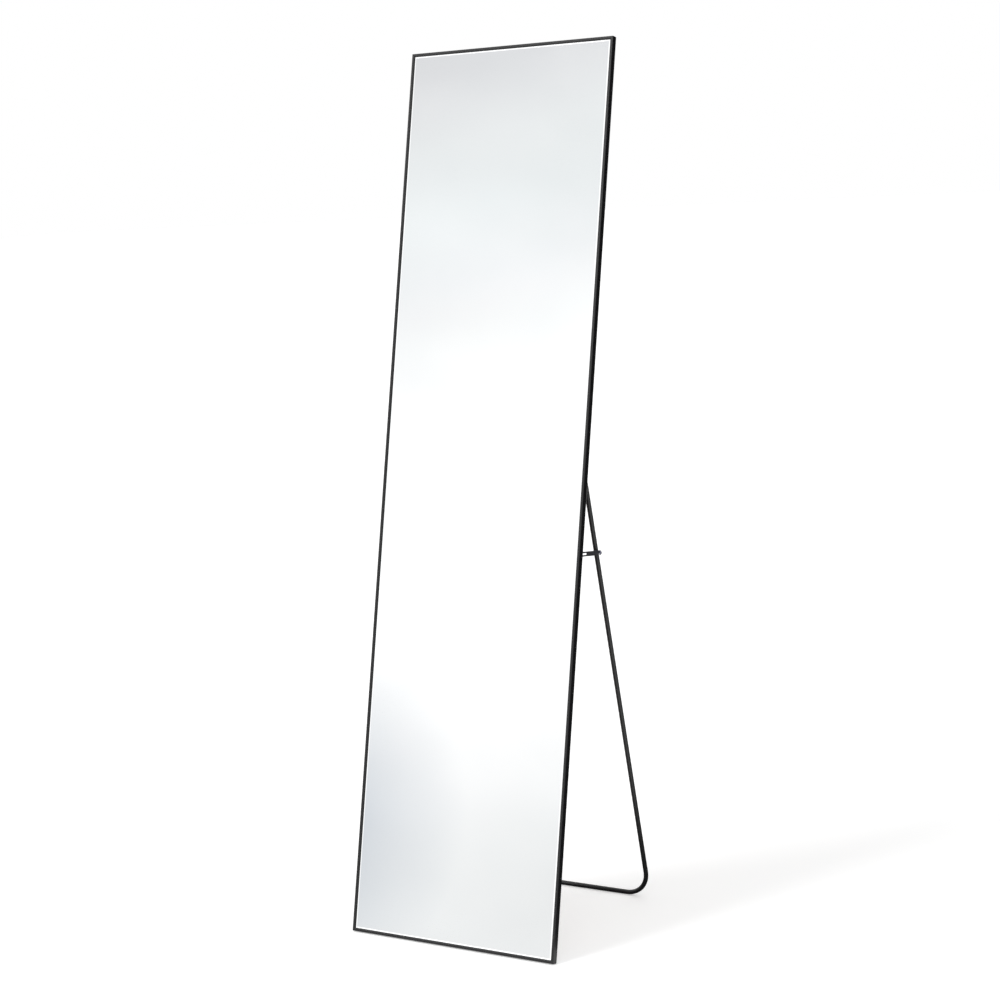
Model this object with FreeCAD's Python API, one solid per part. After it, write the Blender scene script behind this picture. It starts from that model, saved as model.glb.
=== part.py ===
import FreeCAD, Part
import math
import os

from FreeCAD import Vector

# Full-length mirror that stands on the floor, leaning back on a folding U-shaped stand.
#
# The pieces are drawn in the panel's own frame, with the panel upright:
#   X across the panel, Y backwards from its front face, Z up along it from its bottom edge.
# The whole assembly is then tilted by the lean that puts both the frame's back bottom edge and
# the stand's bar on the floor. The origin ends up on the floor, in the middle of the footprint.

# ---- driving dimensions, mm ---------------------------------------------------------------

# panel
mirror_width = 400.0
mirror_height = 1500.0

# frame section
lip_width = 5.2            # what shows of the frame from the front
lip_thickness = 1.6
sight_bevel_width = 1.8    # sloping inner edge of the lip
sight_bevel_depth = 1.1
frame_wall = 1.2
section_width = 16.0       # width of the frame seen from the back
back_radius = 4.5          # rounded outer back edge
front_radius = 0.5
key_room = 2.3             # depth of the hollow that takes the corner keys

# what the frame holds
glass_thickness = 4.0
glass_bevel_width = 5.6    # measured in from the glass edge
glass_bevel_depth = 0.6
foam_thickness = 1.0
board_thickness = 2.5
pack_clearance = 0.2       # play of glass, foam and board in their groove
edge_clearance = 0.8       # play of glass, foam and board at their edges

# corner keys
key_length = 46.0          # length of each leg
key_clearance = 0.15

# stand
tube_diameter = 8.0
leg_length = 787.2         # pivot to the centre line of the bar
bend_radius = 45.0         # centre line of the two bends
stand_angle = 23.57        # between the stand and the panel, when open
hinge_height = 805.1       # pivot above the panel's bottom edge
hinge_standoff = 6.0       # pivot behind the frame's back face
flat_thickness = 3.0       # squashed tube end
flat_length = 14.0         # from the pivot to where the squashed end begins to round out
flare_length = 12.0        # from the squashed end to the full tube

# stays
stay_thickness = 1.5
stay_height = 7.8
stay_drop = 149.1          # stay pivot below the stand's pivot
stay_standoff = 6.5        # stay pivot behind the frame's back face
stud_distance = 155.8      # stud below the stand's pivot, along the leg
slot_travel = 19.5
unhook_share = 0.04        # part of the fold in which the stud leaves its hook

# brackets
bracket_thickness = 1.5
bracket_flange = 9.0       # width of the foot on the frame
bracket_margin = 4.5       # foot to the frame's outer side
bracket_bend_radius = 0.6  # inside of the bend
foot_margin = 4.5          # screw centre to the end of the foot
hinge_foot_length = 36.0
hinge_ear_radius = 6.5
stay_foot_length = 27.0
stay_ear_radius = 4.2
stay_foot_below = 4.6      # how far the stay bracket reaches below its pivot

# fasteners
bolt_diameter = 4.0
bolt_head_diameter = 7.5
bolt_head_height = 2.4
nut_width = 7.0            # across flats
nut_height = 3.2
bolt_proud = 0.5           # how far the bolt passes its nut
washer_diameter = 9.0
pin_diameter = 3.0         # stay pivots and studs
pin_head_diameter = 5.4
pin_head_height = 1.5
rivet_head_height = 1.0
screw_diameter = 3.0
screw_head_diameter = 5.2
screw_head_height = 1.6
screw_grip = 3.0           # how far a screw reaches into the frame
head_taper = 0.75          # width of a head's top against its base

# clearances
pivot_clearance = 0.08     # radial, where something turns on a pin
fixed_clearance = 0.05     # radial, where a pin is held still
side_clearance = 0.05      # beside a washer
leg_ear_gap = 0.5          # leg to the bracket ear beside it
stay_gap = 0.2             # stay to the ear, and to the heads that keep it on
notch_clearance = 0.2      # radial, hook round its stud

# ---- places that follow from the sizes ----------------------------------------------------

half_width = mirror_width / 2
groove_depth = glass_thickness + foam_thickness + board_thickness + pack_clearance
key_front = lip_thickness + groove_depth + frame_wall
frame_depth = key_front + key_room + frame_wall
key_outer = max(back_radius, frame_wall) + key_clearance
key_inner = section_width - frame_wall - key_clearance

tube_radius = tube_diameter / 2
pivot = Vector(0, frame_depth + hinge_standoff, hinge_height)
stay_pivot = Vector(0, frame_depth + stay_standoff, hinge_height - stay_drop)

opening = math.radians(stand_angle)
down_leg = Vector(0, math.sin(opening), -math.cos(opening))
stud = pivot + down_leg * stud_distance
bar = pivot + down_leg * leg_length
stay_tilt = math.atan2(stud.z - stay_pivot.z, stud.y - stay_pivot.y)

# layers along X: the bracket is set in from the frame's side, and the leg stands beside its ear
foot_outer = half_width - bracket_margin
ear_inner = foot_outer - bracket_flange
leg_face = ear_inner - leg_ear_gap
leg_x = leg_face - tube_radius
ear_outer = ear_inner + bracket_thickness
stay_inner = ear_outer + stay_gap
stay_outer = stay_inner + stay_thickness
pin_head_face = stay_outer + stay_gap
foot_screw_x = (pin_head_face + foot_outer) / 2

# the floor touches two circles: the frame's rounded back edge and the stand's bar
edge_centre = Vector(0, frame_depth - back_radius, back_radius)
span = bar - edge_centre
lean = math.atan2(span.z, span.y) + math.asin((back_radius - tube_radius) / span.Length)
floor_height = edge_centre.z * math.cos(lean) - edge_centre.y * math.sin(lean) - back_radius

parts = {}


def add(name, *solids):
    """Keep a piece, or a set of identical fasteners, under its name."""
    parts[name] = solids[0] if len(solids) == 1 else Part.makeCompound(list(solids))


def mirrored(shape):
    """The same piece on the other side of the mirror."""
    return shape.mirror(Vector(0, 0, 0), Vector(1, 0, 0))


def pin(x_from, x_to, radius, centre):
    """A cylinder along X."""
    return Part.makeCylinder(radius, x_to - x_from, Vector(x_from, centre.y, centre.z), Vector(1, 0, 0))


def box(x_from, x_to, y_from, y_to, z_from, z_to):
    return Part.makeBox(x_to - x_from, y_to - y_from, z_to - z_from, Vector(x_from, y_from, z_from))


def polygon_face(points):
    return Part.Face(Part.makePolygon(points + [points[0]]))


# ---- frame --------------------------------------------------------------------------------


def key_hollow():
    """Section of the hollow behind the groove; it follows the rounded outer back edge."""
    back = frame_depth - frame_wall
    inner = section_width - frame_wall
    centre_y = frame_depth - back_radius
    rounding = max(back_radius - frame_wall, front_radius)
    block = polygon_face(
        [
            Vector(0, key_front, frame_wall),
            Vector(0, back, frame_wall),
            Vector(0, back, inner),
            Vector(0, key_front, inner),
        ]
    )
    corner = polygon_face(
        [
            Vector(0, centre_y, 0),
            Vector(0, frame_depth, 0),
            Vector(0, frame_depth, back_radius),
            Vector(0, centre_y, back_radius),
        ]
    )
    circle = Part.Circle(Vector(0, centre_y, back_radius), Vector(1, 0, 0), rounding)
    disc = Part.Face(Part.Wire([circle.toShape()]))
    return block.cut(corner.cut(disc))


def frame_section():
    """Section of a frame bar lying along X: Z inwards from its outer face, Y backwards."""
    depth = frame_depth
    r, w = back_radius, frame_wall
    bent = math.sqrt(0.5)
    outline = [
        Part.LineSegment(Vector(0, front_radius, 0), Vector(0, depth - r, 0)),
        Part.Arc(
            Vector(0, depth - r, 0),
            Vector(0, depth - r + r * bent, r - r * bent),
            Vector(0, depth, r),
        ),
        Part.LineSegment(Vector(0, depth, r), Vector(0, depth, section_width)),
        Part.LineSegment(Vector(0, depth, section_width), Vector(0, key_front - w, section_width)),
        Part.LineSegment(Vector(0, key_front - w, section_width), Vector(0, key_front - w, w)),
        Part.LineSegment(Vector(0, key_front - w, w), Vector(0, lip_thickness, w)),
        Part.LineSegment(Vector(0, lip_thickness, w), Vector(0, lip_thickness, lip_width)),
        Part.LineSegment(Vector(0, lip_thickness, lip_width), Vector(0, sight_bevel_depth, lip_width)),
        Part.LineSegment(
            Vector(0, sight_bevel_depth, lip_width),
            Vector(0, 0, lip_width - sight_bevel_width),
        ),
        Part.LineSegment(Vector(0, 0, lip_width - sight_bevel_width), Vector(0, 0, front_radius)),
        Part.Arc(
            Vector(0, 0, front_radius),
            Vector(0, front_radius - front_radius * bent, front_radius - front_radius * bent),
            Vector(0, front_radius, 0),
        ),
    ]
    outer_wire = Part.Wire([curve.toShape() for curve in outline])
    return Part.Face(outer_wire).cut(key_hollow())


def frame_bar(length):
    """A mitred frame bar along X, from 0 to length, with its outer face at Z = 0."""
    bar_solid = frame_section().extrude(Vector(length, 0, 0))
    mitre = polygon_face(
        [
            Vector(0, 0, 0),
            Vector(length, 0, 0),
            Vector(length - section_width, 0, section_width),
            Vector(section_width, 0, section_width),
        ]
    ).extrude(Vector(0, frame_depth, 0))
    return bar_solid.common(mitre).Solids[0]


def foot_screw_heights():
    """Heights of the screws in each bracket's foot."""
    hinge_foot_bottom = pivot.z - hinge_foot_length / 2
    stay_foot_bottom = stay_pivot.z - stay_foot_below
    stay_foot_top = stay_foot_bottom + stay_foot_length
    return [
        hinge_foot_bottom + foot_margin,
        hinge_foot_bottom + hinge_foot_length - foot_margin,
        stay_pivot.z + pin_head_diameter / 2 + screw_head_diameter,
        stay_foot_top - foot_margin,
    ]


def bracket_screw_places():
    return [Vector(side * foot_screw_x, 0, z) for side in (-1, 1) for z in foot_screw_heights()]


def screw_hole(place, y_from, y_to):
    radius = screw_diameter / 2 + fixed_clearance
    return Part.makeCylinder(radius, y_to - y_from, Vector(place.x, y_from, place.z), Vector(0, 1, 0))


def make_frame():
    rail = frame_bar(mirror_width)
    rail.translate(Vector(-half_width, 0, 0))
    stile = frame_bar(mirror_height)
    stile.rotate(Vector(0, 0, 0), Vector(0, 1, 0), -90)
    stile.translate(Vector(half_width, 0, 0))
    top = rail.mirror(Vector(0, 0, mirror_height / 2), Vector(0, 0, 1))
    bars = {"rail_bottom": rail, "rail_top": top, "stile_right": stile, "stile_left": mirrored(stile)}
    holes = [
        screw_hole(place, key_front, frame_depth + 1)
        for place in bracket_screw_places()
    ]
    for name, solid in bars.items():
        add(name, solid.cut(holes))


def make_corner_keys():
    """Flat L-shaped keys, pressed into the hollow of both bars at each corner."""
    y_front = key_front + key_clearance
    y_back = frame_depth - frame_wall - key_clearance
    inner = key_inner
    end = key_outer + key_length
    outline = [
        Vector(key_outer, y_front, key_outer),
        Vector(end, y_front, key_outer),
        Vector(end, y_front, inner),
        Vector(inner, y_front, inner),
        Vector(inner, y_front, end),
        Vector(key_outer, y_front, end),
    ]
    key = polygon_face(outline).extrude(Vector(0, y_back - y_front, 0))
    key.translate(Vector(-half_width, 0, 0))
    top_key = key.mirror(Vector(0, 0, mirror_height / 2), Vector(0, 0, 1))
    for level, left in (("bottom", key), ("top", top_key)):
        add("corner_key_" + level + "_left", left)
        add("corner_key_" + level + "_right", mirrored(left))


def make_glazing():
    """Mirror glass with a narrow bevel, then foam, then the backboard, all in one groove."""
    gap = frame_wall + edge_clearance
    half = half_width - gap
    bottom, top = gap, mirror_height - gap

    front = lip_thickness
    bevel = glass_bevel_width
    body = box(-half, half, front + glass_bevel_depth, front + glass_thickness, bottom, top)

    def outline(inset, y):
        corners = [(-1, bottom + inset), (1, bottom + inset), (1, top - inset), (-1, top - inset)]
        points = [Vector(side * (half - inset), y, z) for side, z in corners]
        return Part.makePolygon(points + [points[0]])

    rim = Part.makeLoft([outline(bevel, front), outline(0, front + glass_bevel_depth)], True, True)
    add("mirror_glass", body.fuse(rim).removeSplitter())

    foam_front = front + glass_thickness
    board_front = foam_front + foam_thickness
    add("foam_sheet", box(-half, half, foam_front, board_front, bottom, top))
    add("backboard", box(-half, half, board_front, board_front + board_thickness, bottom, top))


# ---- fasteners ----------------------------------------------------------------------------


def tapered_head(diameter, height):
    """A screw or rivet head standing on Z = 0, narrower at its top."""
    return Part.makeCone(diameter / 2, diameter / 2 * head_taper, height)


def place_on_back(solid, place):
    """Move a fastener drawn along Z so that it points out of the frame's back face."""
    solid.rotate(Vector(0, 0, 0), Vector(1, 0, 0), -90)
    solid.translate(Vector(place.x, place.y, place.z))
    return solid


def place_sideways(solid, x, centre):
    """Move a fastener drawn along Z so that it points out to the right, from x."""
    solid.rotate(Vector(0, 0, 0), Vector(0, 1, 0), 90)
    solid.translate(Vector(x, centre.y, centre.z))
    return solid


def frame_screw(grip):
    """Pan-head screw drawn along Z, seated on Z = 0."""
    head = tapered_head(screw_head_diameter, screw_head_height)
    shank = Part.makeCylinder(screw_diameter / 2, grip, Vector(0, 0, -grip))
    return head.fuse(shank)


def make_bracket_screws():
    screws = []
    for place in bracket_screw_places():
        screw = frame_screw(screw_grip + bracket_thickness)
        seat = Vector(place.x, frame_depth + bracket_thickness, place.z)
        screws.append(place_on_back(screw, seat))
    add("bracket_screws", *screws)


# ---- brackets -----------------------------------------------------------------------------


def bracket(centre, ear_radius, foot_bottom, foot_length, hole_radius):
    """Angle bracket: a foot flat on the frame's back, and a rounded ear standing out from it."""
    foot_top = foot_bottom + foot_length
    foot = box(ear_inner, foot_outer, frame_depth, frame_depth + bracket_thickness, foot_bottom, foot_top)

    # the ear's sides run from the foot's corners to the round end, tangent to it
    sides = []
    for base_z, turn in ((foot_bottom, -1), (foot_top, 1)):
        base = Vector(0, frame_depth + bracket_thickness, base_z)
        away = centre - base
        towards = math.atan2(away.z, away.y)
        offset = math.acos(min(1, ear_radius / away.Length))
        angle = towards + math.pi - turn * offset
        touch = centre + Vector(0, math.cos(angle), math.sin(angle)) * ear_radius
        sides.append((base, touch))
    (low_base, low_touch), (high_base, high_touch) = sides
    outline = [
        Vector(ear_inner, frame_depth, foot_bottom),
        Vector(ear_inner, low_base.y, low_base.z),
        Vector(ear_inner, low_touch.y, low_touch.z),
        Vector(ear_inner, high_touch.y, high_touch.z),
        Vector(ear_inner, high_base.y, high_base.z),
        Vector(ear_inner, frame_depth, foot_top),
    ]
    ear = polygon_face(outline).extrude(Vector(bracket_thickness, 0, 0))
    tip = centre.y + ear_radius
    behind_frame = box(ear_inner, ear_outer, frame_depth, tip, foot_bottom, foot_top)
    ear = ear.fuse(pin(ear_inner, ear_outer, ear_radius, centre).common(behind_frame))
    solid = ear.fuse(foot).removeSplitter()

    bend_outside = bracket_bend_radius + bracket_thickness
    heel = [
        edge
        for edge in solid.Edges
        if abs(edge.BoundBox.XMax - ear_inner) < 1e-3
        and abs(edge.BoundBox.YMax - frame_depth) < 1e-3
        and edge.Length > foot_length / 2
    ]
    solid = solid.makeFillet(bend_outside, heel)
    return solid.cut(pin(ear_inner - 1, ear_outer + 1, hole_radius, centre))


def make_brackets():
    holes = [
        screw_hole(place, frame_depth - 1, frame_depth + bracket_thickness + 1)
        for place in bracket_screw_places()
    ]
    hinge = bracket(
        pivot,
        hinge_ear_radius,
        pivot.z - hinge_foot_length / 2,
        hinge_foot_length,
        bolt_diameter / 2 + fixed_clearance,
    )
    stay = bracket(
        stay_pivot,
        stay_ear_radius,
        stay_pivot.z - stay_foot_below,
        stay_foot_length,
        pin_diameter / 2 + fixed_clearance,
    )
    for name, solid in (("hinge_bracket", hinge), ("stay_bracket", stay)):
        solid = solid.cut(holes)
        add(name + "_right", solid)
        add(name + "_left", mirrored(solid))


# ---- stand --------------------------------------------------------------------------------


def tube_path(top_z):
    """Centre line of the U, hanging straight down from the pivot at the origin's height."""
    r, low = bend_radius, -leg_length
    bent = r - r * math.sqrt(0.5)
    runs = []
    runs.append(Part.LineSegment(Vector(-leg_x, 0, top_z), Vector(-leg_x, 0, low + r)))
    runs.append(
        Part.Arc(
            Vector(-leg_x, 0, low + r),
            Vector(-leg_x + bent, 0, low + bent),
            Vector(-leg_x + r, 0, low),
        )
    )
    runs.append(Part.LineSegment(Vector(-leg_x + r, 0, low), Vector(leg_x - r, 0, low)))
    runs.append(
        Part.Arc(
            Vector(leg_x - r, 0, low),
            Vector(leg_x - bent, 0, low + bent),
            Vector(leg_x, 0, low + r),
        )
    )
    runs.append(Part.LineSegment(Vector(leg_x, 0, low + r), Vector(leg_x, 0, top_z)))
    return Part.Wire([run.toShape() for run in runs])


def round_section(z):
    """The tube's circle as four arcs, to match the squashed section edge by edge."""
    circle = Part.Circle(Vector(leg_x, 0, z), Vector(0, 0, 1), tube_radius)
    quarter = math.pi / 2
    turns = [quarter * (i - 0.5) for i in range(5)]
    return Part.Wire([circle.toShape(turns[i], turns[i + 1]) for i in range(4)])


def squashed_section(z):
    """The squashed tube: same skin length, flush with the outer side of the leg."""
    t = flat_thickness
    straight = math.pi * (tube_diameter - t) / 4
    x_out, x_in = leg_face, leg_face - t
    middle = leg_face - t / 2
    low, high = -straight, straight
    edges = [
        Part.LineSegment(Vector(x_out, low, z), Vector(x_out, high, z)),
        Part.Arc(Vector(x_out, high, z), Vector(middle, high + t / 2, z), Vector(x_in, high, z)),
        Part.LineSegment(Vector(x_in, high, z), Vector(x_in, low, z)),
        Part.Arc(Vector(x_in, low, z), Vector(middle, low - t / 2, z), Vector(x_out, low, z)),
    ]
    return Part.Wire([edge.toShape() for edge in edges])


def squashed_end():
    """Flat drilled end of a leg, with its pivot hole at the origin's height."""
    flat_bottom = -flat_length
    flat = Part.Face(squashed_section(flat_bottom)).extrude(Vector(0, 0, flat_length))
    half_flat = math.pi * (tube_diameter - flat_thickness) / 4 + flat_thickness / 2
    round_end = pin(leg_face - flat_thickness, leg_face, half_flat, Vector(0, 0, 0))
    flare = Part.makeLoft(
        [squashed_section(flat_bottom), round_section(flat_bottom - flare_length)], True, True
    )
    end = flat.fuse([round_end, flare])
    return end.cut(pin(leg_x - tube_radius, ear_inner, bolt_diameter / 2 + pivot_clearance, Vector(0, 0, 0)))


def open_stand(solid):
    """Take a piece of the stand from hanging straight down to its open place."""
    solid.rotate(Vector(0, 0, 0), Vector(1, 0, 0), stand_angle)
    solid.translate(pivot)
    return solid


def make_stand():
    tube_top = -flat_length - flare_length
    ring = Part.Wire([Part.Circle(Vector(-leg_x, 0, tube_top), Vector(0, 0, 1), tube_radius).toShape()])
    tube = tube_path(tube_top).makePipeShell([ring], True, False)
    end = squashed_end()
    tube = tube.fuse([end, mirrored(end)])
    stud_place = Vector(0, 0, -stud_distance)
    hole = pin(-leg_face - 1, leg_face + 1, pin_diameter / 2 + fixed_clearance, stud_place)
    add("stand_tube", open_stand(tube.cut(hole)))

    inner_side = leg_x - tube_radius
    shank = pin(inner_side, pin_head_face, pin_diameter / 2, stud_place)
    head = tapered_head(pin_head_diameter, pin_head_height)
    tail = tapered_head(pin_head_diameter, rivet_head_height)
    head = place_sideways(head, pin_head_face, stud_place)
    tail = mirrored(place_sideways(tail, -inner_side, stud_place))
    right = shank.fuse([head, tail])
    add("stay_studs", open_stand(mirrored(right)), open_stand(right))


def make_hinge_fasteners():
    """Bolt through the ear and the leg's flat end, a washer between those two, and a lock nut."""
    nut_face = leg_face - flat_thickness - side_clearance
    bolt_end = nut_face - nut_height - bolt_proud
    bolt_radius = bolt_diameter / 2
    hole = pin(bolt_end, ear_outer, bolt_radius + fixed_clearance, pivot)

    head = place_sideways(tapered_head(bolt_head_diameter, bolt_head_height), ear_outer, pivot)
    bolt = head.fuse(pin(bolt_end, ear_outer, bolt_radius, pivot))

    washer_face = leg_face + side_clearance
    washer = pin(washer_face, ear_inner - side_clearance, washer_diameter / 2, pivot).cut(hole)

    points = []
    for i in range(6):
        angle = math.radians(60 * i)
        corner = Vector(0, math.cos(angle), math.sin(angle)) * (nut_width / math.sqrt(3))
        points.append(Vector(nut_face - nut_height, 0, 0) + pivot + corner)
    nut = polygon_face(points).extrude(Vector(nut_height, 0, 0)).cut(hole)

    for name, solid in (("hinge_bolts", bolt), ("hinge_washers", washer), ("hinge_nuts", nut)):
        add(name, mirrored(solid), solid)


# ---- stays --------------------------------------------------------------------------------


def turned(point, centre, angle):
    """A point turned about an axis along X; a positive angle lifts what lies behind the axis."""
    y, z = point.y - centre.y, point.z - centre.z
    cosine, sine = math.cos(angle), math.sin(angle)
    return centre + Vector(0, y * cosine - z * sine, y * sine + z * cosine)


def notch_direction():
    """Way the stud leaves the hook, seen from the stay, as the stand folds and the stay lifts."""
    fold = opening * unhook_share
    lift = (math.pi / 2 - stay_tilt) * unhook_share
    moved = turned(turned(stud, pivot, -fold), stay_pivot, -lift)
    return (moved - stud).normalize()


def capsule(start, end, radius):
    """Flat bar with round ends, in the stay's layer."""
    along = end - start
    across = Vector(0, -along.z, along.y).normalize() * radius
    corners = [start - across, end - across, end + across, start + across]
    face = polygon_face([Vector(stay_inner, point.y, point.z) for point in corners])
    bar_solid = face.extrude(Vector(stay_thickness, 0, 0))
    ends = [pin(stay_inner, stay_outer, radius, point) for point in (start, end)]
    return bar_solid.fuse(ends).removeSplitter()


def make_stays():
    """Slotted stay: it hangs on the frame's pivot screw and hooks over the stud on the leg."""
    along = (stud - stay_pivot).normalize()
    solid = capsule(stay_pivot, stud, stay_height / 2)
    slot = capsule(stay_pivot, stay_pivot + along * slot_travel, pin_diameter / 2 + pivot_clearance)
    way_out = stud + notch_direction() * (stay_height * 2)
    notch = capsule(stud, way_out, pin_diameter / 2 + notch_clearance)
    solid = solid.cut([slot, notch])
    add("stay_right", solid)
    add("stay_left", mirrored(solid))

    head = tapered_head(pin_head_diameter, pin_head_height)
    screw = place_sideways(head, pin_head_face, stay_pivot)
    screw = screw.fuse(pin(ear_inner, pin_head_face, pin_diameter / 2, stay_pivot))
    add("stay_pivot_screws", mirrored(screw), screw)


# ---- build --------------------------------------------------------------------------------

make_frame()
make_corner_keys()
make_glazing()
make_bracket_screws()
make_brackets()
make_stand()
make_hinge_fasteners()
make_stays()


def to_floor(point):
    """A point of the panel's frame, once the panel leans, before the footprint is centred."""
    y = point.y * math.cos(lean) + point.z * math.sin(lean)
    z = point.z * math.cos(lean) - point.y * math.sin(lean) - floor_height
    return Vector(point.x, y, z)


front_y = to_floor(Vector(0, 0, front_radius)).y
back_y = to_floor(Vector(0, frame_depth, mirror_height - back_radius)).y
footprint_middle = (front_y + back_y) / 2

os.makedirs("parts", exist_ok=True)
for name, shape in parts.items():
    placed = shape.copy()
    placed.rotate(Vector(0, 0, 0), Vector(1, 0, 0), -math.degrees(lean))
    placed.translate(Vector(0, -footprint_middle, -floor_height))
    placed.exportStep("parts/" + name + ".step")

for label, point in (("stand pivot", pivot), ("stay pivot", stay_pivot), ("stud", stud), ("bar", bar)):
    placed_point = to_floor(point) - Vector(0, footprint_middle, 0)
    print("%-12s y %.3f z %.3f" % (label, placed_point.y, placed_point.z))
print("lean %.4f, stay tilt %.4f degrees" % (math.degrees(lean), math.degrees(stay_tilt)))
print("frame depth %.2f, footprint middle %.4f, floor %.4f" % (frame_depth, footprint_middle, floor_height))
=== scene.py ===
# %% [markdown]
# # A leaning floor mirror
# A tall mirror in a thin black aluminium frame leans back on a U-shaped stand of black tube. Two
# short slotted stays hold the stand open. The shapes of the frame, glass and stand come from the
# CAD model. This lesson gives them their finishes, models the screws, bolts and studs in detail,
# and lights it all as in a photographer's white studio.

import bpy
import bmesh
import math
from mathutils import Matrix, Vector


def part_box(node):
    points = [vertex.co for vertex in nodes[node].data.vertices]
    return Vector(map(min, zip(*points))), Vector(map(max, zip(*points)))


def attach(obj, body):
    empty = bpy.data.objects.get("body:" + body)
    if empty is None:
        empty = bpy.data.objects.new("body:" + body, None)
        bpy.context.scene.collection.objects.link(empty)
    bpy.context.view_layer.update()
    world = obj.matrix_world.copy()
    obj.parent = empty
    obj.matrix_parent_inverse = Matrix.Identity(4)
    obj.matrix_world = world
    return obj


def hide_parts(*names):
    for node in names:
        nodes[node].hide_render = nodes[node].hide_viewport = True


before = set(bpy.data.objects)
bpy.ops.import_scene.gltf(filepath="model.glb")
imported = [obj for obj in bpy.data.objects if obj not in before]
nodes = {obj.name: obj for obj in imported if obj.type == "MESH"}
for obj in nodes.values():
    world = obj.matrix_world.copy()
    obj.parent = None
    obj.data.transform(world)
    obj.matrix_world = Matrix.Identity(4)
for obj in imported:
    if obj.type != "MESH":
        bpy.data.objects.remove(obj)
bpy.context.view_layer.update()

# %% Sizes used all through, in metres
mm = 0.001
lean = math.radians(13.7491)
towards_back = Vector((0, math.cos(lean), -math.sin(lean)))
up_the_panel = Vector((0, math.sin(lean), math.cos(lean)))
print("the panel leans back by", round(math.degrees(lean), 2), "degrees")


# %% [markdown]
# ## Small helpers
# An operator works on everything that is selected, and the loaded nodes arrive selected. So each
# step starts by selecting nothing. Faces and edges are picked in code by where they are.

# %% Helpers for selecting
def select_only(*objects):
    if bpy.context.mode != "OBJECT":
        bpy.ops.object.mode_set(mode="OBJECT")
    bpy.ops.object.select_all(action="DESELECT")
    for obj in objects:
        obj.select_set(True)
    if objects:
        bpy.context.view_layer.objects.active = objects[0]


def select_flat(obj, kind, height, reach=0.01 * mm):
    """In edit mode, selects what lies flat at this height. Kind is "EDGE" or "FACE"."""
    bpy.ops.mesh.select_mode(type=kind)
    bpy.ops.mesh.select_all(action="DESELECT")
    shape = bmesh.from_edit_mesh(obj.data)
    for item in shape.edges if kind == "EDGE" else shape.faces:
        if all(abs(v.co.z - height) < reach for v in item.verts):
            item.select = True
    if kind == "EDGE":
        shape.select_flush_mode()
    bmesh.update_edit_mesh(obj.data)


# %% Helper that finds the separate solids of a CAD node
def islands(node, weld=0.001 * mm):
    """Each solid's lowest and highest corner and its middle, from left to right."""
    shape = bmesh.new()
    shape.from_mesh(nodes[node].data)
    bmesh.ops.remove_doubles(shape, verts=shape.verts, dist=weld)
    left, found = set(shape.verts), []
    while left:
        stack, group = [left.pop()], []
        while stack:
            vert = stack.pop()
            group.append(vert.co.copy())
            for edge in vert.link_edges:
                other = edge.other_vert(vert)
                if other in left:
                    left.remove(other)
                    stack.append(other)
        low = Vector([min(c[i] for c in group) for i in range(3)])
        high = Vector([max(c[i] for c in group) for i in range(3)])
        found.append((low, high, (low + high) / 2))
    shape.free()
    return sorted(found, key=lambda f: (f[2].x, f[2].z))


for name in ("bracket_screws", "hinge_bolts", "hinge_nuts", "stay_studs", "stay_pivot_screws"):
    print(name, "has", len(islands(name)), "solids")

# %% [markdown]
# ## Effects that many finishes share
# Powder coat and anodised metal have fine grain, dust on what faces up, and edges that rubbing has
# made a little lighter; the board has fine grain too. Each effect is one node group. It gives a
# value or a normal, and every material places it with its own numbers.


# %% Helpers for building shader nodes
def feed(tree, value, socket):
    """Gives a socket a number or a colour, or links another socket to it."""
    if isinstance(value, (int, float)):
        socket.default_value = value
    elif isinstance(value, tuple):
        socket.default_value = (*value, 1.0)
    else:
        tree.links.new(value, socket)


def math_node(tree, operation, first, second, clamp=False):
    node = tree.nodes.new("ShaderNodeMath")
    node.operation = operation
    node.use_clamp = clamp
    for socket, value in zip(node.inputs, (first, second)):
        feed(tree, value, socket)
    return node.outputs[0]


def absolute(tree, value):
    return math_node(tree, "ABSOLUTE", value, 0.0)


def object_place(tree):
    return tree.nodes.new("ShaderNodeTexCoord").outputs["Object"]


def noise(tree, place, scale, detail):
    """A soft cloudy value around 0.5. The scale is a number or a socket."""
    node = tree.nodes.new("ShaderNodeTexNoise")
    node.inputs["Detail"].default_value = detail
    feed(tree, place, node.inputs["Vector"])
    feed(tree, scale, node.inputs["Scale"])
    return node.outputs["Fac"]


def split_xyz(tree, vector):
    node = tree.nodes.new("ShaderNodeSeparateXYZ")
    feed(tree, vector, node.inputs[0])
    return node.outputs["X"], node.outputs["Y"], node.outputs["Z"]


def new_group(name, inputs, outputs):
    group = bpy.data.node_groups.new(name, "ShaderNodeTree")
    for label, default in inputs.items():
        socket = group.interface.new_socket(label, in_out="INPUT", socket_type="NodeSocketFloat")
        socket.default_value = default
    for label, kind in outputs.items():
        group.interface.new_socket(label, in_out="OUTPUT", socket_type=kind)
    given = group.nodes.new("NodeGroupInput").outputs
    out = group.nodes.new("NodeGroupOutput").inputs
    return group, given, out


def panel_axes(group, given):
    """The place on the object turned upright by Tilt, so that the last of its three runs up."""
    turn = group.nodes.new("ShaderNodeVectorRotate")
    turn.rotation_type = "X_AXIS"
    feed(group, object_place(group), turn.inputs["Vector"])
    feed(group, given["Tilt"], turn.inputs["Angle"])
    return split_xyz(group, turn.outputs[0])


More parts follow.
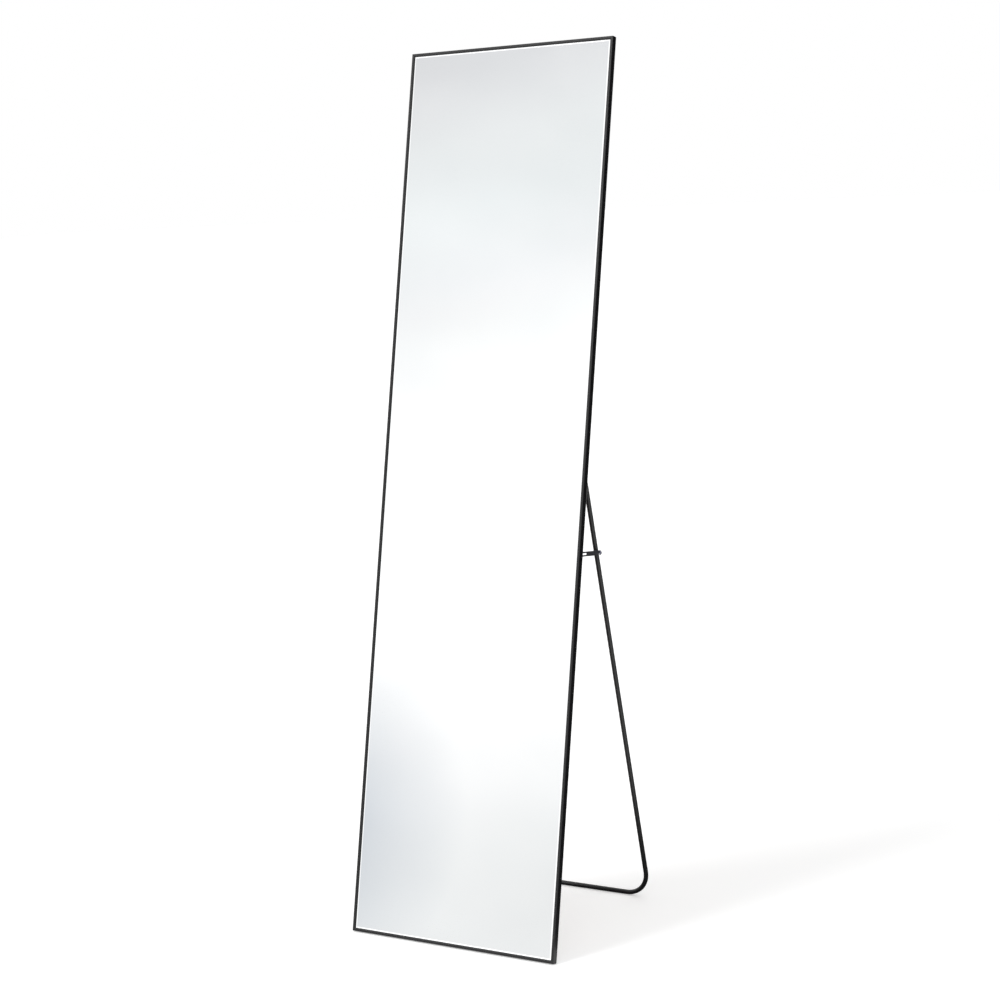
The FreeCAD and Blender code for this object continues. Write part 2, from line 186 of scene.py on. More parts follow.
# %% Grain: a fine even speckle with a bump
def make_grain_group(bump_height=0.02 * mm):
    group, given, out = new_group(
        "fine_grain",
        {
            "Grains per metre": 1500.0,
            "Bump depth": 0.1,
            "Along X": 1.0,
            "Along panel": 1.0,
            "Tilt": 0.0,
        },
        {"Value": "NodeSocketFloat", "Normal": "NodeSocketVector"},
    )
    x, y, z = panel_axes(group, given)
    stretched = group.nodes.new("ShaderNodeCombineXYZ")
    feed(group, math_node(group, "MULTIPLY", x, given["Along X"]), stretched.inputs["X"])
    feed(group, y, stretched.inputs["Y"])
    feed(group, math_node(group, "MULTIPLY", z, given["Along panel"]), stretched.inputs["Z"])
    speckle = noise(group, stretched.outputs[0], given["Grains per metre"], 3.0)
    bump = group.nodes.new("ShaderNodeBump")
    bump.inputs["Distance"].default_value = bump_height
    feed(group, speckle, bump.inputs["Height"])
    feed(group, given["Bump depth"], bump.inputs["Strength"])
    feed(group, speckle, out["Value"])
    feed(group, bump.outputs[0], out["Normal"])
    return group


# %% Worn edges: where a rounded normal differs from the flat one
def make_edge_group(patches_per_metre=90.0, contrast=6.0):
    group, given, out = new_group(
        "worn_edges", {"Width": 0.6 * mm, "Amount": 0.5}, {"Mask": "NodeSocketFloat"}
    )
    rounded = group.nodes.new("ShaderNodeBevel")
    rounded.samples = 6
    feed(group, given["Width"], rounded.inputs["Radius"])
    compare = group.nodes.new("ShaderNodeVectorMath")
    compare.operation = "DOT_PRODUCT"
    feed(group, rounded.outputs[0], compare.inputs[0])
    geometry = group.nodes.new("ShaderNodeNewGeometry")
    feed(group, geometry.outputs["Normal"], compare.inputs[1])
    differ = math_node(group, "SUBTRACT", 1.0, compare.outputs["Value"], clamp=True)
    strong = math_node(group, "MULTIPLY", differ, contrast, clamp=True)
    patches = noise(group, object_place(group), patches_per_metre, 2.0)
    patchy = math_node(group, "MULTIPLY", strong, patches)
    feed(group, math_node(group, "MULTIPLY", patchy, given["Amount"], clamp=True), out["Mask"])
    return group


# %% Dust: a thin soft layer on what faces up
def make_dust_group(specks_per_metre=220.0):
    group, given, out = new_group("settled_dust", {"Amount": 0.2}, {"Mask": "NodeSocketFloat"})
    geometry = group.nodes.new("ShaderNodeNewGeometry")
    upwards = split_xyz(group, geometry.outputs["Normal"])[2]
    facing_up = math_node(group, "POWER", math_node(group, "MAXIMUM", upwards, 0.0), 2.0)
    specks = noise(group, object_place(group), specks_per_metre, 5.0)
    patchy = math_node(group, "MULTIPLY", facing_up, specks)
    feed(group, math_node(group, "MULTIPLY", patchy, given["Amount"], clamp=True), out["Mask"])
    return group


# %% [markdown]
# Two bars meet in each corner at 45 degrees, pressed tight together. All that shows of the joint
# is a hairline. It lies where a point is as far from the panel's side as from its end.


# %% The mitre seam
def make_seam_group():
    group, given, out = new_group(
        "mitre_seam",
        {"Half width": 0.2, "Height": 1.5, "Foot": 0.0, "Line": 0.1 * mm, "Tilt": 0.0},
        {"Mask": "NodeSocketFloat"},
    )
    x, _, z = panel_axes(group, given)
    from_side = math_node(group, "SUBTRACT", given["Half width"], absolute(group, x))
    from_bottom = math_node(group, "SUBTRACT", z, given["Foot"])
    from_top = math_node(group, "SUBTRACT", given["Height"], from_bottom)
    from_end = math_node(group, "MINIMUM", from_bottom, from_top)
    apart = absolute(group, math_node(group, "SUBTRACT", from_side, from_end))
    feed(group, math_node(group, "LESS_THAN", apart, given["Line"]), out["Mask"])
    return group


fine_grain = make_grain_group()
worn_edges = make_edge_group()
settled_dust = make_dust_group()
mitre_seam = make_seam_group()
print("shared effects:", [g.name for g in (fine_grain, worn_edges, settled_dust, mitre_seam)])


# %% Helpers that start a finish and lay effects on it
def effect(tree, group, **values):
    """Places a node group. A label's spaces are written as underscores."""
    node = tree.nodes.new("ShaderNodeGroup")
    node.node_tree = group
    for label, value in values.items():
        node.inputs[label.replace("_", " ")].default_value = value
    return node.outputs


def mix_colours(tree, mask, first, second):
    node = tree.nodes.new("ShaderNodeMix")
    node.data_type = "RGBA"
    first_colour, second_colour, result = node.inputs[6], node.inputs[7], node.outputs[2]
    feed(tree, first, first_colour)
    feed(tree, second, second_colour)
    feed(tree, mask, node.inputs[0])
    return result


def spread(tree, value, low, high):
    """Stretches a noise value, which runs from about 0.3 to 0.7, over low to high."""
    node = tree.nodes.new("ShaderNodeMapRange")
    node.inputs["From Min"].default_value = 0.3
    node.inputs["From Max"].default_value = 0.7
    node.inputs["To Min"].default_value = low
    node.inputs["To Max"].default_value = high
    feed(tree, value, node.inputs["Value"])
    return node.outputs[0]


def new_finish(name, roughness, metallic=0.0):
    finish = bpy.data.materials.new(name)
    finish.use_nodes = True
    shader = finish.node_tree.nodes["Principled BSDF"]
    shader.inputs["Roughness"].default_value = roughness
    shader.inputs["Metallic"].default_value = metallic
    return finish, finish.node_tree, shader


def make_grained(name, dark, light, roughness, play, grains, bump, metallic=0.0, **stretch):
    """A finish whose colour, bump and roughness, give or take the play, follow one grain."""
    finish, tree, shader = new_finish(name, roughness, metallic)
    grain = effect(tree, fine_grain, Grains_per_metre=grains, Bump_depth=bump, **stretch)
    value = grain["Value"]
    colour = mix_colours(tree, spread(tree, value, 0.0, 1.0), dark, light)
    feed(tree, colour, shader.inputs["Base Color"])
    feed(tree, spread(tree, value, roughness - play, roughness + play), shader.inputs["Roughness"])
    if bump:
        feed(tree, grain["Normal"], shader.inputs["Normal"])
    return finish


def lay_over(finish, mask, colour):
    """Lays a colour over what the finish has already, as strongly as the mask says."""
    tree = finish.node_tree
    base = tree.nodes["Principled BSDF"].inputs["Base Color"]
    feed(tree, mix_colours(tree, mask, base.links[0].from_socket, colour), base)


# %% [markdown]
# ## Painted and anodised black
# The frame is extruded aluminium, anodised black: satin, with very fine lines along each bar from
# the die. The stand, stays and brackets are steel with a smooth satin powder coat, which has a
# fine orange-peel grain. Both are nearly black, so what the eye sees is how softly they reflect.

# %% The black finishes
rubbed_edge = (0.11, 0.11, 0.12)
dust_colour = (0.30, 0.29, 0.28)
dust_amount = 0.06
frame_colour = (0.004, 0.004, 0.0045)
along_the_bar = 0.02


def make_black(name, colour, roughness, specular, grains, bump, wear, **stretch):
    lighter = tuple(c * 1.5 for c in colour)
    finish = make_grained(
        name, colour, lighter, roughness, 0.05, grains, bump, Tilt=lean, **stretch
    )
    tree = finish.node_tree
    tree.nodes["Principled BSDF"].inputs["Specular IOR Level"].default_value = specular
    lay_over(finish, effect(tree, worn_edges, Amount=wear)["Mask"], rubbed_edge)
    lay_over(finish, effect(tree, settled_dust, Amount=dust_amount)["Mask"], dust_colour)
    return finish


def add_seam(finish, foot):
    """Darkens and dulls the hairline of the mitre joints."""
    tree = finish.node_tree
    rough = tree.nodes["Principled BSDF"].inputs["Roughness"]
    seam = effect(tree, mitre_seam, Tilt=lean, Foot=foot)["Mask"]
    lay_over(finish, seam, (0.0, 0.0, 0.0))
    feed(tree, math_node(tree, "ADD", rough.links[0].from_socket, seam, clamp=True), rough)


stile_black = make_black(
    "anodised_stile", frame_colour, 0.28, 0.36, 900, 0.04, 0.12, Along_panel=along_the_bar
)
rail_black = make_black(
    "anodised_rail", frame_colour, 0.28, 0.34, 900, 0.04, 0.12, Along_X=along_the_bar
)
panel_foot = min(up_the_panel.dot(v.co) for v in nodes["rail_bottom"].data.vertices)
for finish in (stile_black, rail_black):
    add_seam(finish, panel_foot)
stand_black = make_black("coated_tube", (0.008, 0.008, 0.009), 0.38, 0.42, 2200, 0.20, 0.10)
stay_black = make_black("blackened_stay", (0.024, 0.024, 0.027), 0.40, 0.40, 2200, 0.20, 0.6)
bracket_black = make_black("coated_bracket", (0.006, 0.006, 0.007), 0.42, 0.30, 2200, 0.20, 0.4)
screw_black = make_black("blackened_screw", (0.010, 0.010, 0.011), 0.34, 0.40, 3000, 0.15, 0.6)
print("the panel's foot is", round(panel_foot / mm, 3), "mm up the panel from the origin")

# %% [markdown]
# ## Mirror, board, foam, steel, zinc and nylon
# A mirror is clear glass with silver behind it. Seen in a studio it is simply a smooth metal, very
# slightly cool, with a little haze from wiping. Its narrow ground bevel is part of the CAD shape
# and throws its reflection aside, which draws the bright line round the picture.
#
# Behind the glass lie a sheet of grey foam and a dark hardboard back, blotched as it soaks up
# damp. The keys in the corners are bare steel. The studs that the stays hook over are zinc plated
# and shine a little blue. The hinge washers are off-white nylon.

# %% The other finishes
mirror_finish = make_grained(
    "silvered_glass", (0.94, 0.95, 0.955), (0.965, 0.97, 0.972), 0.0325, 0.0175, 6.0, 0.0, 1.0
)
board_finish = make_grained(
    "hardboard", (0.105, 0.066, 0.040), (0.19, 0.125, 0.08), 0.72, 0.10, 700, 0.6
)
board_tree = board_finish.node_tree
blotches = effect(board_tree, fine_grain, Grains_per_metre=14.0, Bump_depth=0.0)["Value"]
lay_over(board_finish, spread(board_tree, blotches, 0.0, 0.35), (0.080, 0.050, 0.032))
foam_finish = make_grained(
    "grey_foam", (0.16, 0.16, 0.17), (0.30, 0.30, 0.31), 0.9, 0.06, 1800, 1.0
)
steel_finish = make_grained(
    "bare_steel", (0.42, 0.42, 0.43), (0.58, 0.58, 0.59), 0.35, 0.06, 1200, 0.2, 1.0
)
zinc_finish = make_grained(
    "zinc_plate", (0.20, 0.20, 0.28), (0.30, 0.30, 0.40), 0.30, 0.06, 1500, 0.1, 0.6
)
nylon_finish = make_grained(
    "white_nylon", (0.66, 0.65, 0.61), (0.74, 0.73, 0.69), 0.45, 0.06, 900, 0.1
)
print("the mirror and five plainer finishes are made")

# %% Give every CAD node its finish
finish_of = {
    "rail_top": rail_black,
    "rail_bottom": rail_black,
    "stile_left": stile_black,
    "stile_right": stile_black,
    "corner_key_bottom_left": steel_finish,
    "corner_key_bottom_right": steel_finish,
    "corner_key_top_left": steel_finish,
    "corner_key_top_right": steel_finish,
    "mirror_glass": mirror_finish,
    "foam_sheet": foam_finish,
    "backboard": board_finish,
    "hinge_bracket_left": bracket_black,
    "hinge_bracket_right": bracket_black,
    "stay_bracket_left": bracket_black,
    "stay_bracket_right": bracket_black,
    "hinge_bolts": screw_black,
    "hinge_nuts": zinc_finish,
    "hinge_washers": nylon_finish,
    "bracket_screws": screw_black,
    "stay_pivot_screws": screw_black,
    "stay_studs": zinc_finish,
    "stand_tube": stand_black,
    "stay_left": stay_black,
    "stay_right": stay_black,
}
for name, node in nodes.items():
    node.data.materials.clear()
    node.data.materials.append(finish_of[name])
print("every node has a finish:", set(finish_of) == set(nodes))

# %% [markdown]
# ## Softened edges on the pressed steel
# The stays and brackets are pressed from sheet, so their edges are tumbled round before they are
# coated. The round catches a thin line of light. The loaded triangles are first welded in a
# modifier, a second one joins those that lie flat beside each other, and a third bevels only the
# sharp edges.

# %% Bevel the stays and brackets
pressed = [f"{kind}_{side}" for kind in ("stay", "stay_bracket", "hinge_bracket")
           for side in ("left", "right")]
for name in pressed:
    weld = nodes[name].modifiers.new("weld", "WELD")
    weld.merge_threshold = 0.005 * mm
    flatten = nodes[name].modifiers.new("join_flat_faces", "DECIMATE")
    flatten.decimate_type = "DISSOLVE"
    flatten.angle_limit = math.radians(1)
    soften = nodes[name].modifiers.new("soft_edges", "BEVEL")
    soften.width = 0.22 * mm
    soften.segments = 2
    soften.limit_method = "ANGLE"
    soften.angle_limit = math.radians(50)
    soften.harden_normals = True
print("softened:", pressed)

# %% [markdown]
# ## The screws
# The small fasteners are modelled once, pointing up at the middle of the scene, and each copy is
# then moved into its place. A pan head starts as a cylinder. Its top rim is bevelled in five steps
# to make the dome, and two crossed wedges are cut out of it for the driver.


# %% Cylinders, rims, steps and Boolean cuts
def cylinder(name, radius, height, base=0.0, sides=36):
    """An upright cylinder that stands at the height `base`."""
    select_only()
    bpy.ops.mesh.primitive_cylinder_add(
        vertices=sides, radius=radius, depth=height, location=(0, 0, base + height / 2)
    )
    made = bpy.context.object
    made.name = made.data.name = name
    bpy.ops.object.transform_apply(location=True)
    return made


def bevel_rim(obj, height, width, steps):
    """Bevels the rim that lies flat at this height. One step makes a chamfer."""
    select_only(obj)
    bpy.ops.object.mode_set(mode="EDIT")
    select_flat(obj, "EDGE", height)
    bpy.ops.mesh.bevel(offset=width, segments=steps, affect="EDGES")
    bpy.ops.object.mode_set(mode="OBJECT")


def step_face(obj, height, *steps):
    """Insets the flat face at this height and moves it up or down, once for each step."""
    select_only(obj)
    bpy.ops.object.mode_set(mode="EDIT")
    select_flat(obj, "FACE", height)
    for thickness, rise in steps:
        bpy.ops.mesh.inset(thickness=thickness)
        bpy.ops.mesh.extrude_region_move(TRANSFORM_OT_translate={"value": (0, 0, rise)})
    bpy.ops.object.mode_set(mode="OBJECT")


def combine(piece, other, operation):
    """Cuts the other object out, joins it on, or keeps what both share. The other goes."""
    select_only(piece)
    change = piece.modifiers.new("combine", "BOOLEAN")
    change.operation = operation
    change.solver = "EXACT"
    change.object = other
    bpy.ops.object.modifier_apply(modifier=change.name)
    bpy.data.objects.remove(other)


# %% A domed head on a shank, and the cross in it
def domed_head(name, head_radius, head_height, dome, shank_radius, shank_length):
    """Modelled with the head's flat underside at the origin, pointing up."""
    screw = cylinder(name, head_radius, head_height)
    bevel_rim(screw, head_height, dome, 5)
    step_face(screw, 0.0, (head_radius - shank_radius, -shank_length))
    return screw


def cut_cross(screw, top, width, length, depth, taper=0.55):
    """Two crossed slots with sloping ends, for a cross-head driver."""
    for turn in (0.0, math.pi / 2):
        select_only()
        bpy.ops.mesh.primitive_cube_add(size=1.0, location=(0, 0, top))
        cutter = bpy.context.object
        cutter.scale = (length, width, 2 * depth)
        cutter.rotation_euler = (0, 0, turn)
        bpy.ops.object.transform_apply(location=True, rotation=True, scale=True)
        bpy.ops.object.mode_set(mode="EDIT")
        select_flat(cutter, "FACE", top - depth)
        bpy.ops.transform.resize(value=(taper, taper, 1.0), center_override=(0, 0, top - depth))
        bpy.ops.object.mode_set(mode="OBJECT")
        combine(screw, cutter, "DIFFERENCE")


# %% Finishing a piece and putting its copies in place
def finish_piece(piece, finish, angle=35):
    piece.data.materials.clear()
    piece.data.materials.append(finish)
    select_only(piece)
    bpy.ops.object.shade_smooth_by_angle(angle=math.radians(angle))


def place_copy(model, name, place, pointing, body, node, turn=0.0):
    """A copy with its own mesh, moved so that its head points along `pointing`."""
    copy = model.copy()
    copy.data = model.data.copy()
    copy.name = copy.data.name = name
    bpy.context.scene.collection.objects.link(copy)
    aim = Vector((0, 0, 1)).rotation_difference(pointing).to_matrix().to_4x4()
    copy.data.transform(Matrix.Translation(place) @ aim @ Matrix.Rotation(turn, 4, "Z"))
    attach(copy, body)
    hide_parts(node)


def seat_of(found, pointing, head_height):
    """The underside of a head that ends a solid on the side that `pointing` names."""
    low, high, middle = found
    size = high - low
    if pointing.x:
        length = size.x
    else:
        # the solid lies along the panel's normal, and its head's width tilts into the box
        length = (size.y - size.x * math.sin(lean)) / math.cos(lean)
    return middle + pointing * (length / 2 - head_height)


def place_pair(models, node, head_height, body, outwards=1):
    """Copies each model to the left and right solid, its head outwards, or inwards with -1."""
    for side, found in zip(("left", "right"), islands(node)):
        pointing = Vector((outwards * math.copysign(1, found[2].x), 0, 0))
        for name, model in models.items():
            seat = seat_of(found, pointing, head_height)
            place_copy(model, f"{name}_{side}", seat, pointing, body, node)
    for model in models.values():
        bpy.data.objects.remove(model)


def shank_length(node, head_height):
    """Length of a solid across the panel, less its head."""
    low, high, _ = islands(node)[1]
    return high.x - low.x - head_height


# %% Pan-head screws that hold the brackets
head_radius, head_height, shank_radius, grip = 2.6 * mm, 1.6 * mm, 1.5 * mm, 2.6 * mm
pan_screw = domed_head(
    "bracket_screw_model", head_radius, head_height, 1.05 * mm, shank_radius, grip
)
cut_cross(pan_screw, head_height, 0.62 * mm, 2.9 * mm, 1.0 * mm)
finish_piece(pan_screw, screw_black)
turn_between_screws = 0.5
for number, found in enumerate(islands("bracket_screws")):
    place_copy(
        pan_screw, f"bracket_screw_{number + 1}", seat_of(found, towards_back, head_height),
        towards_back, "frame", "bracket_screws", turn=turn_between_screws * number,
    )
bpy.data.objects.remove(pan_screw)
print("bracket screws placed:", number + 1)

# %% [markdown]
# The two hinge bolts have a low button head with a six-sided socket. A six-sided cylinder cuts the
# socket. Their other end shows past the lock nut, with a small chamfer.

# %% Button-head bolts of the hinges
bolt_head_radius, bolt_head_height, bolt_radius = 3.75 * mm, 2.4 * mm, 2.0 * mm
socket_width, socket_depth = 2.5 * mm, 1.3 * mm
bolt_length = shank_length("hinge_bolts", bolt_head_height)
bolt = domed_head(
    "hinge_bolt_model", bolt_head_radius, bolt_head_height, 1.7 * mm, bolt_radius, bolt_length
)
bevel_rim(bolt, -bolt_length, 0.35 * mm, 1)
socket_cutter = cylinder(
    "socket_cutter", socket_width / 2 / math.cos(math.pi / 6), 2 * socket_depth,
    base=bolt_head_height - socket_depth, sides=6,
)
combine(bolt, socket_cutter, "DIFFERENCE")
finish_piece(bolt, screw_black)
place_pair({"hinge_bolt": bolt}, "hinge_bolts", bolt_head_height, "frame")
print("hinge bolts placed: 2, shank", round(bolt_length / mm, 2), "mm")

# %% [markdown]
# A lock nut is a hexagon whose corners are cut back by the cone of its lathe, with a nylon ring set
# in its free end. The hexagon is crossed with a chamfered cylinder: what both share is the nut.

# %% Lock nuts with their nylon rings
nut_width, nut_height, bore = 7.0 * mm, 3.2 * mm, 2.05 * mm
ring_radius, ring_height, ring_proud = 2.75 * mm, 0.5 * mm, 0.15 * mm
corner_radius = nut_width / 2 / math.cos(math.pi / 6)
nut = cylinder("lock_nut_model", corner_radius, nut_height, sides=6)
barrel = cylinder("barrel", corner_radius, nut_height, sides=48)
for height in (0.0, nut_height):
    bevel_rim(barrel, height, 0.45 * mm, 2)
combine(nut, barrel, "INTERSECT")
ring_top = nut_height + ring_proud
ring = cylinder("lock_nut_ring_model", ring_radius, ring_height, base=ring_top - ring_height)
bevel_rim(ring, ring_top, 0.12 * mm, 2)
for piece in (nut, ring):
    bore_cutter = cylinder("bore_cutter", bore, 4 * nut_height, base=-2 * nut_height)
    combine(piece, bore_cutter, "DIFFERENCE")
finish_piece(nut, zinc_finish, angle=20)
finish_piece(ring, nylon_finish)
place_pair(
    {"lock_nut": nut, "lock_nut_ring": ring}, "hinge_nuts", nut_height, "frame", outwards=-1
)
print("lock nuts placed: 2, across flats", nut_width / mm, "mm")

# %% [markdown]
# ## The stays' pins
# Each stay hangs on a small screw at the frame, and hooks over a zinc-plated stud riveted through
# the leg. The stud is the bright eye that the light finds: a low dome with a turned step round it.
# A step is an inset of the top face, pushed down a little.

# %% Pivot screws of the stays
pin_head_radius, pin_head_height, pin_radius = 2.7 * mm, 1.5 * mm, 1.5 * mm
pivot_length = shank_length("stay_pivot_screws", pin_head_height)
pivot_screw = domed_head(
    "stay_pivot_model", pin_head_radius, pin_head_height, 0.9 * mm, pin_radius, pivot_length
)
cut_cross(pivot_screw, pin_head_height, 0.6 * mm, 3.0 * mm, 0.9 * mm)
finish_piece(pivot_screw, screw_black)
place_pair({"stay_pivot_screw": pivot_screw}, "stay_pivot_screws", pin_head_height, "frame")
print("stay pivot screws placed: 2, shank", round(pivot_length / mm, 2), "mm")

# %% Studs of the stays, with the rivet head that the far end was hammered into
rivet_height, rivet_radius = 1.0 * mm, 2.7 * mm
stud_length = shank_length("stay_studs", pin_head_height)
stud = domed_head(
    "stay_stud_model", pin_head_radius, pin_head_height, 0.55 * mm, pin_radius, stud_length
)
step_face(stud, pin_head_height, (0.45 * mm, -0.35 * mm), (0.25 * mm, 0.25 * mm))
rivet = cylinder("rivet", rivet_radius, rivet_height, base=-stud_length)
bevel_rim(rivet, -stud_length, 0.8 * mm, 5)
combine(stud, rivet, "UNION")
finish_piece(stud, zinc_finish)
place_pair({"stay_stud": stud}, "stay_studs", pin_head_height, "stand")
print("stay studs placed: 2, shank", round(stud_length / mm, 2), "mm")

# %% [markdown]
# ## The studio
# The floor and the world are white. A strength of 1 in the world is plain white, and what the suns
# add is soft. The mirror looks at the air behind the camera, so a hung cloth stands there: cool
# grey at the top, white in the middle, a soft cloud across it. That is what the glass shows. A
# black board does the same for the frame's right side. Only reflections see the two.


# %% Helpers for the studio
def matte(name, grey, glow=0.0):
    """A plain dull finish. The glow adds light of its own."""
    finish, _, shader = new_finish(name, 0.9)
    shader.inputs["Base Color"].default_value = (grey, grey, grey, 1.0)
    shader.inputs["Specular IOR Level"].default_value = 0.0
    shader.inputs["Emission Color"].default_value = (1.0, 1.0, 1.0, 1.0)
    shader.inputs["Emission Strength"].default_value = glow
    return finish


def add_plane(name, size):
    select_only()
    bpy.ops.mesh.primitive_plane_add(size=size, location=(0, 0, 0))
    plane = bpy.context.object
    plane.name = name
    return plane


def only_in_reflections(obj):
    obj.visible_camera = False
    obj.visible_diffuse = False
    obj.visible_shadow = False


# %% The floor
floor = add_plane("studio_floor", 60.0)
floor.data.materials.append(matte("white_floor", 0.86, glow=0.38))
print("floor:", [round(v, 1) for v in floor.dimensions[:2]], "m")

# %% [markdown]
# The cloth's light is made in layers. A ramp gives the grey at the top and bottom, tilted so that
# on the left it reaches further in. A soft patch darkens the lower left. Beyond the picture's edge
# the rim is bright, which the bevel of the glass picks up as its thin white line.

# %% The light of the cloth
picture_half_height = 2.4
tilt_of_picture = 0.5
brightness_up_the_cloth = [
    (0.08, (0.86, 0.87, 0.87)),
    (0.16, (0.94, 0.95, 0.95)),
    (0.23, (1.01, 1.01, 1.01)),
    (0.32, (1.10, 1.10, 1.10)),
    (0.60, (1.10, 1.10, 1.10)),
    (0.66, (1.02, 1.03, 1.03)),
    (0.69, (0.98, 0.985, 0.99)),
    (0.72, (0.935, 0.95, 0.96)),
    (0.79, (0.90, 0.93, 0.935)),
    (0.85, (0.875, 0.895, 0.90)),
    (0.886, (0.83, 0.84, 0.85)),
    (0.922, (0.76, 0.765, 0.78)),
    (0.96, (0.74, 0.745, 0.76)),
]
patch_middle, patch_reach, patch_colour = (0.42, -1.52, 0), (0.60, 0.78, 1.0), (0.58, 0.62, 0.67)
rim_colour, rim_from_middle, rim_from_height, rim_hardness = (1.2, 1.2, 1.2), 0.95, 2.45, 5.0


def mapped(tree, kind, **values):
    """The place on the object through a Mapping node of this kind."""
    node = tree.nodes.new("ShaderNodeMapping")
    node.vector_type = kind
    for label, value in values.items():
        node.inputs[label].default_value = value
    feed(tree, object_place(tree), node.inputs["Vector"])
    return node.outputs[0]


def ramp_colour(tree, value, stops):
    ramp = tree.nodes.new("ShaderNodeValToRGB")
    elements = ramp.color_ramp.elements
    while len(elements) < len(stops):
        elements.new(0.5)
    for element, (where, colour) in zip(elements, stops):
        element.position = where
        element.color = (*colour, 1.0)
    feed(tree, value, ramp.inputs[0])
    return ramp.outputs[0]


def make_cloth_light():
    finish = bpy.data.materials.new("cloth_light")
    finish.use_nodes = True
    tree = finish.node_tree
    tree.nodes.clear()
    x, y, _ = split_xyz(tree, object_place(tree))
    height = tree.nodes.new("ShaderNodeMapRange")
    height.inputs["From Min"].default_value = -picture_half_height
    height.inputs["From Max"].default_value = picture_half_height
    tilted = math_node(tree, "ADD", y, math_node(tree, "MULTIPLY", x, tilt_of_picture))
    feed(tree, tilted, height.inputs["Value"])
    plain = ramp_colour(tree, height.outputs[0], brightness_up_the_cloth)
    patch = tree.nodes.new("ShaderNodeTexGradient")
    patch.gradient_type = "SPHERICAL"
    around_patch = mapped(tree, "TEXTURE", Location=patch_middle, Scale=patch_reach)
    feed(tree, around_patch, patch.inputs["Vector"])
    patched = mix_colours(tree, patch.outputs["Fac"], plain, patch_colour)
    beside = math_node(tree, "SUBTRACT", absolute(tree, x), rim_from_middle)
    beyond = math_node(tree, "SUBTRACT", absolute(tree, y), rim_from_height)
    outside = math_node(tree, "MAXIMUM", beside, beyond)
    rim = math_node(tree, "MULTIPLY", outside, rim_hardness, clamp=True)
    across_the_cloth = mapped(
        tree, "POINT", Rotation=(0, 0, math.radians(35)), Scale=(1.0, 2.2, 1.0)
    )
    cloud = noise(tree, across_the_cloth, 0.55, 2.0)
    glow = tree.nodes.new("ShaderNodeEmission")
    feed(tree, mix_colours(tree, rim, patched, rim_colour), glow.inputs["Color"])
    feed(tree, spread(tree, cloud, 0.95, 1.07), glow.inputs["Strength"])
    out = tree.nodes.new("ShaderNodeOutputMaterial")
    feed(tree, glow.outputs[0], out.inputs["Surface"])
    return finish


# %% The cloth that the mirror shows
def make_cloth(middle_of_mirror, seen_along, distance, width=6.0, height=9.0):
    cloth = add_plane("studio_cloth", 1.0)
    cloth.data.transform(Matrix.Diagonal((width, height, 1.0, 1.0)))
    facing = -seen_along
    across = Vector((0, 0, 1)).cross(facing).normalized()
    turned = Matrix((across, facing.cross(across), facing)).transposed().to_4x4()
    cloth.matrix_world = Matrix.Translation(middle_of_mirror + seen_along * distance) @ turned
    cloth.data.materials.append(make_cloth_light())
    only_in_reflections(cloth)


glass_low, glass_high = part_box("mirror_glass")
view_direction = Vector((-0.54854, 0.82127, -0.15694))
seen_along = view_direction.reflect(towards_back)
make_cloth((glass_low + glass_high) / 2, seen_along, 6.0)
print("the mirror looks towards", [round(v, 3) for v in seen_along])


# %% The world: plain white to the camera and the mirror, a softer light to everything else
def make_world(light=0.45, shown=1.0):
    world = bpy.data.worlds.new("studio_air")
    bpy.context.scene.world = world
    world.use_nodes = True
    tree = world.node_tree
    tree.nodes.clear()
    ray = tree.nodes.new("ShaderNodeLightPath").outputs
    seen = math_node(tree, "MAXIMUM", ray["Is Camera Ray"], ray["Is Glossy Ray"])
    seen = math_node(tree, "MAXIMUM", seen, ray["Is Transmission Ray"])
    mix = tree.nodes.new("ShaderNodeMixShader")
    feed(tree, seen, mix.inputs[0])
    for socket, strength in zip(mix.inputs[1:], (light, shown)):
        air = tree.nodes.new("ShaderNodeBackground")
        air.inputs["Color"].default_value = (1.0, 1.0, 1.0, 1.0)
        air.inputs["Strength"].default_value = strength
        feed(tree, air.outputs[0], socket)
    out = tree.nodes.new("ShaderNodeOutputWorld")
    feed(tree, mix.outputs[0], out.inputs["Surface"])


make_world()
print("world:", bpy.context.scene.world.name)


# %% The suns
def soft_sun(name, towards, width, strength):
    """A sun as wide as a big soft box, so that its light is even over the whole floor."""
    data = bpy.data.lights.new(name, "SUN")
    data.angle = math.radians(width)
    data.energy = strength
    sun = bpy.data.objects.new(name, data)
    sun.rotation_euler = (-Vector(towards)).to_track_quat("-Z", "Y").to_euler()
    bpy.context.scene.collection.objects.link(sun)


key_side = Vector((seen_along.x, seen_along.y, 0)).normalized()
key_height = math.radians(39)
soft_sun("sun_front_left", (key_side.x, key_side.y, math.tan(key_height)), 24, 1.6)
soft_sun("sun_right", (0.85, -0.53, 1.0), 60, 0.5)
soft_sun("sun_behind", (0.2, 0.98, 1.2), 60, 0.5)
print("suns: 3")


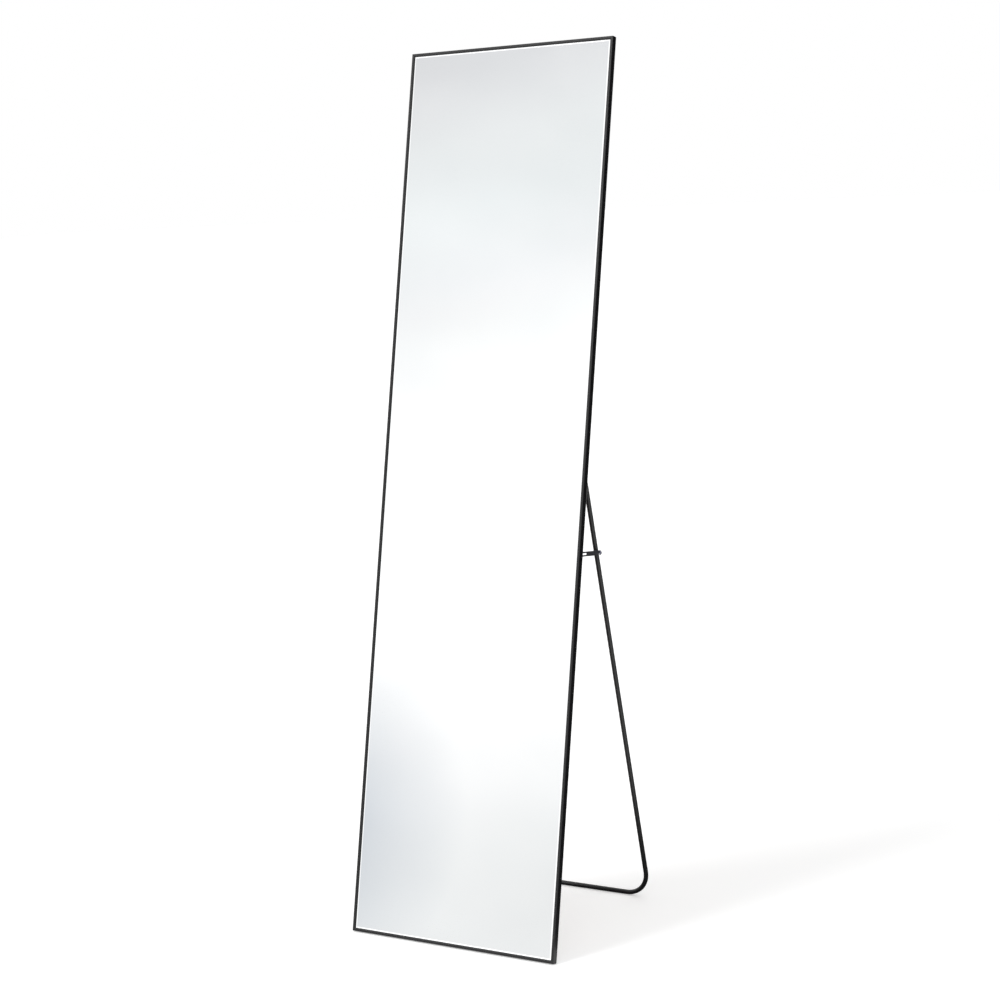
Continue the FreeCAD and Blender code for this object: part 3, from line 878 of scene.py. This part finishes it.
# %% The dark board beside the frame
def make_flag():
    """A board on edge and one on the floor, behind the frame's right side."""
    side_view = Vector((-view_direction.x, view_direction.y, 0)).normalized()
    across = side_view.cross(Vector((0, 0, 1)))
    far, near, left, right, tall = 1.4, -0.02, -0.8, 0.4, 2.0
    near_width, above_floor = 0.66, 0.001
    forward = side_view * (near - far)
    flag = add_plane("studio_flag", 1.0)
    foot = Vector((0.2, -0.15, 0.0)) + side_view * far
    corners = [(left, 0.0), (right, 0.0), (left, tall), (right, tall)]
    for vert, (sideways, height) in zip(flag.data.vertices, corners):
        vert.co = foot + across * sideways + Vector((0, 0, height))
    bpy.ops.object.mode_set(mode="EDIT")
    select_flat(flag, "EDGE", 0.0)
    bpy.ops.mesh.extrude_edges_move(TRANSFORM_OT_translate={"value": forward})
    # the near edge is narrowed towards its left end, so that it stays behind the mirror's face
    near_left = foot + across * left + forward
    bpy.ops.transform.resize(value=(near_width, near_width, 1.0), center_override=near_left)
    bpy.ops.mesh.select_all(action="SELECT")
    bpy.ops.transform.translate(value=(0, 0, above_floor))
    bpy.ops.object.mode_set(mode="OBJECT")
    flag.data.materials.append(matte("black_board", 0.0))
    only_in_reflections(flag)
    print("black board:", [round(v, 2) for v in flag.dimensions], "m")


make_flag()

# %% [markdown]
# ## The camera
# The photograph was taken from the right of the mirror and a little above its middle, tipped
# slightly down and turned a little. The four front corners of the frame fix where it stood.

# %% Camera
camera_data = bpy.data.cameras.new("camera")
camera_data.sensor_width = 36.0
camera_data.lens = 82.0
camera = bpy.data.objects.new("camera", camera_data)
bpy.context.scene.collection.objects.link(camera)
camera_place = (2.1000, -3.0924, 1.3088)
yaw, down, roll = math.radians(33.740), math.radians(9.030), math.radians(3.810)
turned = Matrix.Rotation(yaw, 4, "Z") @ Matrix.Rotation(math.pi / 2 - down, 4, "X")
camera.matrix_world = Matrix.Translation(camera_place) @ turned @ Matrix.Rotation(-roll, 4, "Z")
bpy.context.scene.camera = camera
bpy.context.scene.view_settings.view_transform = "Standard"
print("camera at", camera_place, "m, lens", camera_data.lens, "mm")
